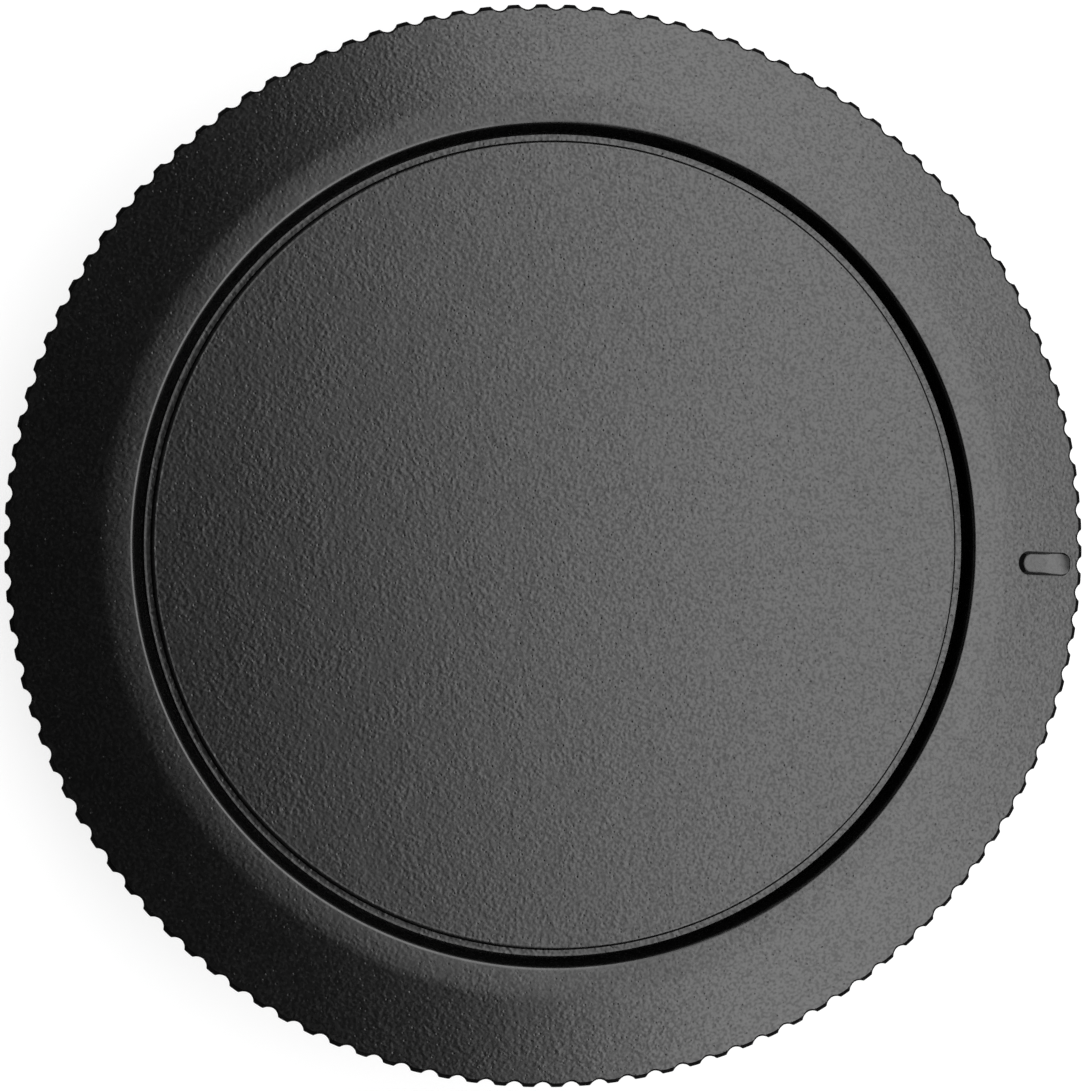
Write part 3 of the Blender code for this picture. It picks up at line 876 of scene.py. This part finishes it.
class OBJECT_OT_body_cap(Operator):
    """Build the cap's one moulding: panel, groove, ring, fluted rim, collar and lugs"""

    bl_idname = "object.build_body_cap"
    bl_label = "Body cap"

    def execute(self, context):
        shape = CapShape(context.scene)
        finish = context.scene.cap_finish
        skin = RingSkin()
        lay_profile(skin, panel_profile(shape), TURNED_STATIONS)
        lay_profile(skin, groove_profile(shape), TURNED_STATIONS)
        lay_rim(skin, shape)
        lay_profile(skin, channel_profile(shape), TURNED_STATIONS)
        lay_collar(skin, shape, TURNED_STATIONS)
        lay_profile(skin, hollow_profile(shape), TURNED_STATIONS // 4)
        skin.close()
        cap = skin.build(CAP)
        grain, handling = grain_group(), handling_group()
        for name, roughness, grain_share, index in (
                ("grained_black_plastic", finish.grained_roughness, 1.0, finish.sheen),
                ("smooth_black_plastic", finish.smooth_roughness, 0.15, finish.sheen),
                ("grip_black_plastic", finish.grip_roughness, 0.5, finish.grip_sheen),
                ("edge_black_plastic", finish.edge_roughness, 0.3, finish.edge_sheen)):
            cap.data.materials.append(plastic_material(
                name, finish, grain, handling, roughness, grain_share, index))
        cutters = bmesh.new()
        mark_cutter(cutters, shape)
        ejector_cutters(cutters, shape)
        cut_away(cap, cutters)
        finish_rim(cap, shape)
        smooth_round(cap, sharp_deg=35)
        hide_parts("body_cap")
        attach(cap, "root")
        return {"FINISHED"}


def floor_material(stage):
    """Pale floor that is seen white and keeps the cap's shadow."""
    material = bpy.data.materials.new("pale_floor")
    material.use_nodes = True
    tree = material.node_tree
    tree.nodes.remove(tree.nodes["Principled BSDF"])
    output = tree.nodes["Material Output"]
    plain = place(tree, "ShaderNodeBsdfDiffuse", -600, -100)
    plain.inputs["Color"].default_value = stage.floor_colour
    shaded = place(tree, "ShaderNodeBsdfDiffuse", -600, 100)
    shaded.inputs["Color"].default_value = stage.floor_shade
    glow = place(tree, "ShaderNodeEmission", -600, 300)
    glow.inputs["Strength"].default_value = stage.floor_glow
    seen = place(tree, "ShaderNodeAddShader", -350, 200)
    tree.links.new(glow.outputs[0], seen.inputs[0])
    tree.links.new(shaded.outputs[0], seen.inputs[1])
    rays = place(tree, "ShaderNodeLightPath", -900, 500)
    first = math_node(tree, "MAXIMUM", -600, 600,
                      rays.outputs["Is Camera Ray"], rays.outputs["Is Glossy Ray"])
    share = math_node(tree, "MAXIMUM", -350, 500, first, rays.outputs["Is Transmission Ray"])
    mix = place(tree, "ShaderNodeMixShader", -100, 100)
    tree.links.new(share, mix.inputs[0])
    tree.links.new(plain.outputs[0], mix.inputs[1])
    tree.links.new(seen.outputs[0], mix.inputs[2])
    tree.links.new(mix.outputs[0], output.inputs["Surface"])
    return material


def room_world(stage):
    """An even dim room with a pale band at the horizon, and a pale wall for the camera alone."""
    world = bpy.data.worlds.new("studio_room")
    bpy.context.scene.world = world
    world.use_nodes = True
    tree = world.node_tree
    background = tree.nodes["Background"]
    direction = place(tree, "ShaderNodeTexCoord", -900, 0)
    split = place(tree, "ShaderNodeSeparateXYZ", -700, 0)
    tree.links.new(direction.outputs["Generated"], split.inputs[0])
    low, high = (math.sin(math.radians(degrees)) for degrees in HORIZON_BAND)
    band = ramp_node(tree, -500, 0, split.outputs["Z"], low, high,
                     stage.horizon_strength, stage.fill_strength, "SMOOTHSTEP")
    rays = place(tree, "ShaderNodeLightPath", -700, 300)
    wall = math_node(tree, "MULTIPLY", -450, 250, rays.outputs["Is Camera Ray"],
                     stage.wall_strength)
    shown = math_node(tree, "MAXIMUM", -250, 100, band, wall)
    tree.links.new(shown, background.inputs["Color"])


def soft_lamp(name, centre, aim, length, width, power):
    """A large rectangular lamp that faces a point."""
    data = bpy.data.lights.new(name, "AREA")
    data.shape = "RECTANGLE"
    data.size, data.size_y = length, width
    data.energy = power
    lamp = bpy.data.objects.new(name, data)
    lamp.location = centre
    lamp.rotation_euler = (Vector(centre) - Vector(aim)).to_track_quat("Z", "Y").to_euler()
    lamp.visible_camera = False
    bpy.context.scene.collection.objects.link(lamp)


def aimed_camera(focal_length):
    """The camera at the photograph's viewing angle, nearly straight over the cap."""
    data = bpy.data.cameras.new("camera")
    data.sensor_width = 36.0
    data.lens = focal_length
    data.clip_start = 0.005
    camera = bpy.data.objects.new("camera", data)
    turn = Matrix.Rotation(math.radians(CAMERA_TURN), 3, "Z")
    back = turn @ Vector(CAMERA_BACK).normalized()
    right = (turn @ Vector(CAMERA_UP)).cross(back).normalized()
    axes = Matrix((right, back.cross(right), back)).transposed().to_4x4()
    camera.matrix_world = Matrix.Translation(turn @ Vector(CAMERA_PLACE)) @ axes
    bpy.context.scene.collection.objects.link(camera)
    bpy.context.scene.camera = camera


class OBJECT_OT_body_cap_stage(Operator):
    """Set the floor, the soft lamps and the camera round the cap"""

    bl_idname = "object.set_body_cap_stage"
    bl_label = "Stage"

    def execute(self, context):
        stage = context.scene.cap_stage
        context.scene.view_settings.view_transform = "Standard"
        mesh_data = bmesh.new()
        bmesh.ops.create_circle(mesh_data, cap_ends=True, segments=64, radius=FLOOR_RADIUS)
        floor = linked("floor", mesh_data)
        floor.location.z = -FLOOR_GAP
        floor.data.materials.append(floor_material(stage))
        room_world(stage)
        tilt, azimuth = stage.key_tilt, stage.key_azimuth
        towards = Vector((math.sin(tilt) * math.cos(azimuth),
                          math.sin(tilt) * math.sin(azimuth), math.cos(tilt)))
        # Three layers of falling width, a hair apart, make a lamp with soft long edges.
        for layer in range(3):
            width = stage.key_width + stage.key_edge * (1 - layer)
            soft_lamp("key_softbox_%d" % layer, towards * (stage.key_distance + LAYER_GAP * layer),
                      CAP_FACE, stage.key_length, width,
                      stage.key_power * stage.key_length * width)
        aimed_camera(stage.focal_length)
        return {"FINISHED"}


class VIEW3D_PT_body_cap(Panel):
    """The cap's sizes, finish and stage, and the buttons that build them"""

    bl_label = "Body cap"
    bl_idname = "VIEW3D_PT_body_cap"
    bl_space_type = "VIEW_3D"
    bl_region_type = "UI"
    bl_category = "Body Cap"

    def draw(self, context):
        for title, name in (("Front", "cap_front"), ("Rim", "cap_rim"), ("Rear", "cap_rear"),
                            ("Finish", "cap_finish"), ("Stage", "cap_stage")):
            group = getattr(context.scene, name)
            box = self.layout.box()
            box.label(text=title)
            for key in group.bl_rna.properties.keys():
                if key not in ("rna_type", "name"):
                    box.prop(group, key)
        self.layout.operator(OBJECT_OT_body_cap.bl_idname)
        self.layout.operator(OBJECT_OT_body_cap_stage.bl_idname)


CLASSES = (CapFrontSizes, CapRimSizes, CapRearSizes, CapFinish, StageSettings,
           OBJECT_OT_body_cap, OBJECT_OT_body_cap_stage, VIEW3D_PT_body_cap)
SETTINGS = {"cap_front": CapFrontSizes, "cap_rim": CapRimSizes, "cap_rear": CapRearSizes,
            "cap_finish": CapFinish, "cap_stage": StageSettings}


def register():
    for made in CLASSES:
        bpy.utils.register_class(made)
    for name, group in SETTINGS.items():
        setattr(bpy.types.Scene, name, PointerProperty(type=group))


def unregister():
    for name in SETTINGS:
        delattr(bpy.types.Scene, name)
    for made in reversed(CLASSES):
        bpy.utils.unregister_class(made)


def main():
    """Build the cap and its stage."""
    register()
    bpy.ops.object.build_body_cap()
    bpy.ops.object.set_body_cap_stage()


if __name__ == "__main__":
    main()
